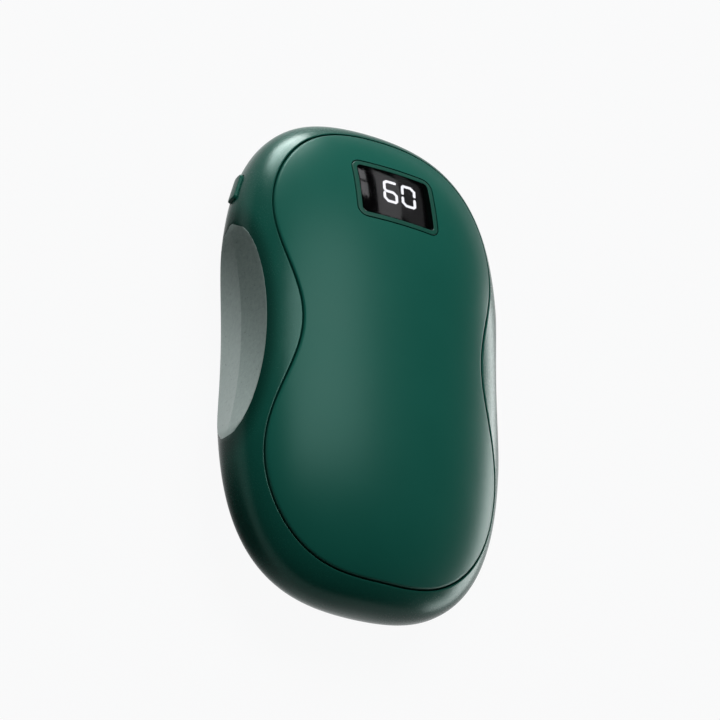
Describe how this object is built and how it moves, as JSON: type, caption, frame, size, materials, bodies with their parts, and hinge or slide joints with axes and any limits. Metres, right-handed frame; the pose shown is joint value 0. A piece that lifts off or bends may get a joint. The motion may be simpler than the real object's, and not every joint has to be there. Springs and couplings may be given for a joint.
{
  "type": "rechargeable hand warmer",
  "caption": "Pebble-shaped electric hand warmer with scooped flanks, waisted warming panels front and back, a display window, a side button and a charging socket.",
  "frame": {"origin": "middle of the flat foot on the back, on the surface that the hand warmer lies on", "axes": "+Z out of the display side, +Y along the body towards the display's end, +X across, to the right as the display is read"},
  "size_m": [0.0594, 0.0999, 0.0299],
  "materials": {
    "shell_green": "dark green plastic with a fine matt grain",
    "panel_green": "dark green with a fine matt grain",
    "rim_green": "dark green, satin",
    "button_green": "dark green with a fine matt grain",
    "gasket": "black adhesive ring",
    "smoked_glass": "black smoked glass, glossy",
    "display_black": "black moulded plastic",
    "lit_white": "lit white",
    "unlit_grey": "grey diffuser",
    "pins": "tinned",
    "board": "green solder mask",
    "chip": "black moulded plastic",
    "ferrite": "dark grey ferrite",
    "ceramic": "ceramic",
    "socket_steel": "nickel plated",
    "gold": "gold plated",
    "plunger": "white plastic",
    "cell_foil": "laminated foil",
    "tape": "white foam tape",
    "lead_red": "red insulation",
    "lead_black": "black insulation",
    "frame_plastic": "natural white plastic",
    "heater_film": "amber film",
    "foam": "dark grey foam",
    "thermistor": "glass bead",
    "screw_steel": "zinc plated"
  },
  "bodies": {
    "casing": {"outer_shell": "shell_green", "front_panel": "panel_green", "back_panel": "panel_green", "window_rim": "rim_green", "front_panel_gasket": "gasket", "back_panel_gasket": "gasket", "window_glass": "smoked_glass", "display_module": "display_black", "lit_segments": "lit_white", "unlit_segments": "unlit_grey", "display_pins": "pins", "main_board": "board", "cell_board": "board", "control_chip": "chip", "charger_chip": "chip", "switch_body": "chip", "socket_tongue": "chip", "power_inductor": "ferrite", "chip_capacitors": "ceramic", "socket_shell": "socket_steel", "socket_contacts": "gold", "front_cell": "cell_foil", "back_cell": "cell_foil", "cell_tape": "tape", "positive_lead": "lead_red", "negative_lead": "lead_black", "inner_frame": "frame_plastic", "front_heater": "heater_film", "back_heater": "heater_film", "front_heater_tail": "heater_film", "back_heater_tail": "heater_film", "front_foam": "foam", "back_foam": "foam", "thermistors": "thermistor", "case_screws": "screw_steel", "board_screws": "screw_steel"},
    "button": {"button_cap": "button_green"},
    "plunger": {"switch_plunger": "plunger"}
  },
  "joints": [
    {"name": "button_press", "type": "slide", "parent": "casing", "child": "button", "axis": [0.9587, -0.2843, 0], "range_m": [0, 0.0004], "stiffness_N_per_m": 1500},
    {"name": "switch_stroke", "type": "slide", "parent": "casing", "child": "plunger", "axis": [0.9587, -0.2843, 0], "range_m": [0, 0.0004]}
  ],
  "couplings": [
    {"joint": "switch_stroke", "follows": "button_press", "ratio": 1}
  ]
}
